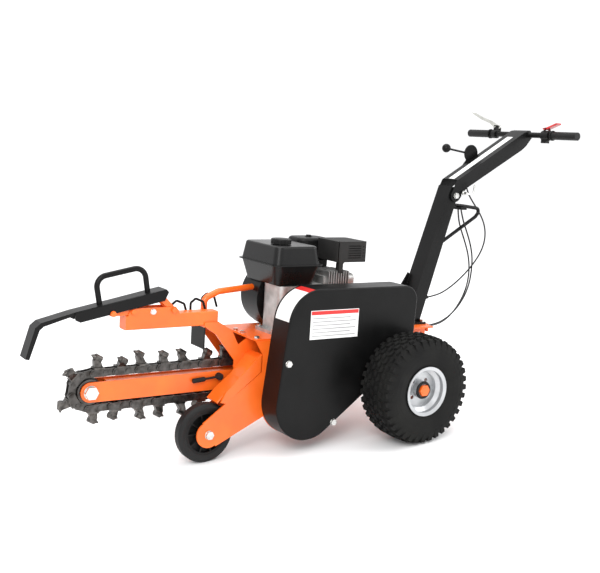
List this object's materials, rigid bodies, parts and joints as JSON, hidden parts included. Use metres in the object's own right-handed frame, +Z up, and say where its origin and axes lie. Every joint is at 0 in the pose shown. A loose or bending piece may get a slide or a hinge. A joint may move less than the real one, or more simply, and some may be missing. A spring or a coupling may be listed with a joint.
{
  "type": "walk-behind trencher",
  "caption": "Walk-behind mini trencher: digging chain on a pivoting boom, engine and belt cover on a wheeled frame, folding handle with levers, and a lifting guard bar.",
  "frame": {"origin": "middle of the footprint's bounding box, on the floor, with the machine standing on its three wheels", "axes": "+X towards the operator's handle, +Y away from the belt cover, +Z up; the deck leans 4.6 degrees nose up"},
  "size_m": [2.0987, 0.766, 1.1264],
  "materials": {
    "orange_paint": "semi-gloss powder coat",
    "black_paint": "semi-gloss powder coat",
    "heat_black": "matt heat-proof paint",
    "cast_alloy": "as cast",
    "zinc": "zinc plated",
    "rim_silver": "silver paint",
    "shaft_steel": "turned",
    "chain_steel": "oiled dark steel",
    "cutter_steel": "forged dark steel",
    "casting": "as cast",
    "tyre_rubber": "moulded",
    "rubber_black": "moulded",
    "plastic_matte": "fine grain",
    "plastic_gloss": "moulded",
    "plastic_red": "moulded",
    "lever_alloy": "polished forging",
    "cable_jacket": "extruded"
  },
  "bodies": {
    "frame": {"air_cleaner": "plastic_matte", "belt_cover": "black_paint", "blower_housing": "black_paint", "chain_flap": "rubber_black", "clutch_drum": "casting", "column": "black_paint", "crankcase": "cast_alloy", "cylinder": "cast_alloy", "deck": "orange_paint", "drive_belts": "rubber_black", "drive_plate": "orange_paint", "driven_pulley": "casting", "frame_bolts": "zinc", "fuel_tank": "plastic_gloss", "guard_hoop": "orange_paint", "head_bearings": "casting", "head_gear": "shaft_steel", "head_shaft": "shaft_steel", "jackshaft": "shaft_steel", "lever_cable": "cable_jacket", "muffler": "heat_black", "muffler_guard": "heat_black", "rear_axle": "orange_paint", "rear_cables": "cable_jacket", "recoil_cover": "black_paint", "rocker_cover": "cast_alloy", "rod_loops": "black_paint", "top_beam": "orange_paint", "tunnel_plates": "orange_paint"},
    "boom": {"boom_bar": "orange_paint", "drive_sprocket": "chain_steel", "chain_inner_links": "chain_steel", "chain_outer_links": "chain_steel", "chain_pins": "chain_steel", "cutters": "cutter_steel", "nose_bolt": "zinc"},
    "nose_roller": {"nose_idler": "chain_steel"},
    "boom_lock": {"boom_lever": "rubber_black"},
    "guard_front": {"guard_front_links": "orange_paint"},
    "guard": {"guard_channel": "black_paint"},
    "guard_rear": {"guard_rear_links": "orange_paint"},
    "wheel_left": {"tyre_left": "tyre_rubber", "rim_left": "rim_silver"},
    "wheel_right": {"tyre_right": "tyre_rubber", "rim_right": "rim_silver"},
    "front_wheel": {"front_tyre": "rubber_black", "front_core": "plastic_matte"},
    "engine_rotor": {"crankshaft": "shaft_steel", "clutch_hub": "shaft_steel"},
    "cap": {"fuel_cap": "plastic_matte"},
    "starter": {"starter_grip": "plastic_matte"},
    "handle": {"handle_arm": "black_paint", "handlebar": "black_paint", "grips": "rubber_black", "control_clamps": "plastic_matte", "quadrant": "black_paint"},
    "clutch_grip": {"clutch_lever": "lever_alloy"},
    "throttle": {"throttle_lever": "plastic_red"},
    "knob": {"knob_lever": "black_paint"},
    "lock": {"lock_pin": "zinc"}
  },
  "joints": [
    {"name": "boom_pivot", "type": "hinge", "parent": "frame", "child": "boom", "pos_m": [-0.15025, 0.02, 0.22665], "axis": [0, 1, 0], "range_deg": [-48, 0]},
    {"name": "nose_roller_spin", "type": "hinge", "parent": "boom", "child": "nose_roller", "pos_m": [-0.84727, 0.02, 0.28273], "axis": [0, 1, 0], "continuous": true},
    {"name": "boom_lock_turn", "type": "hinge", "parent": "boom", "child": "boom_lock", "pos_m": [-0.39625, -0.02, 0.26149], "axis": [0, 1, 0], "range_deg": [0, 40]},
    {"name": "guard_lift", "type": "hinge", "parent": "frame", "child": "guard_front", "pos_m": [-0.70095, -0.005, 0.52678], "axis": [0, 1, 0], "range_deg": [0, 50]},
    {"name": "guard_tilt", "type": "hinge", "parent": "guard_front", "child": "guard", "pos_m": [-0.77089, -0.005, 0.5304], "axis": [0, 1, 0], "range_deg": [-36, 0]},
    {"name": "guard_rear_swing", "type": "hinge", "parent": "frame", "child": "guard_rear", "pos_m": [-0.56148, -0.005, 0.51456], "axis": [0, 1, 0], "range_deg": [0, 29]},
    {"name": "wheel_left_spin", "type": "hinge", "parent": "frame", "child": "wheel_left", "pos_m": [0.218, -0.307, 0.19], "axis": [0, 1, 0], "continuous": true},
    {"name": "wheel_right_spin", "type": "hinge", "parent": "frame", "child": "wheel_right", "pos_m": [0.218, 0.307, 0.19], "axis": [0, 1, 0], "continuous": true},
    {"name": "front_wheel_spin", "type": "hinge", "parent": "frame", "child": "front_wheel", "pos_m": [-0.49, -0.075, 0.1], "axis": [0, 1, 0], "continuous": true},
    {"name": "engine_rotor_spin", "type": "hinge", "parent": "frame", "child": "engine_rotor", "pos_m": [-0.07948, 0, 0.4828], "axis": [0, 1, 0], "continuous": true},
    {"name": "cap_turn", "type": "hinge", "parent": "frame", "child": "cap", "pos_m": [-0.11853, 0.02, 0.69562], "axis": [0.0802, 0, 0.9968], "range_deg": [0, 90]},
    {"name": "starter_pull", "type": "slide", "parent": "frame", "child": "starter", "axis": [0.9968, 0, -0.0802], "range_m": [0, 0.14], "stiffness_N_per_m": 120},
    {"name": "handle_fold", "type": "hinge", "parent": "frame", "child": "handle", "pos_m": [0.63627, 0, 0.81246], "axis": [0, 1, 0], "range_deg": [-75, 0], "deforming": ["lever_cable"]},
    {"name": "clutch_grip_pull", "type": "hinge", "parent": "handle", "child": "clutch_grip", "pos_m": [1.03152, 0.142, 1.06156], "axis": [0.9968, 0, -0.0802], "range_deg": [-22, 0], "stiffness_Nm_per_rad": 6},
    {"name": "throttle_push", "type": "hinge", "parent": "handle", "child": "throttle", "pos_m": [1.02215, -0.138, 1.0573], "axis": [0.9968, 0, -0.0802], "range_deg": [0, 20]},
    {"name": "knob_swing", "type": "hinge", "parent": "handle", "child": "knob", "pos_m": [0.79296, 0.05, 0.96438], "axis": [0, 1, 0], "range_deg": [-35, 35]},
    {"name": "lock_pull", "type": "slide", "parent": "frame", "child": "lock", "axis": [0, -1, 0], "range_m": [0, 0.025]}
  ],
  "couplings": [
    {"joint": "guard_tilt", "follows": "guard_lift", "ratio": -0.72},
    {"joint": "guard_rear_swing", "follows": "guard_lift", "ratio": 0.58}
  ]
}
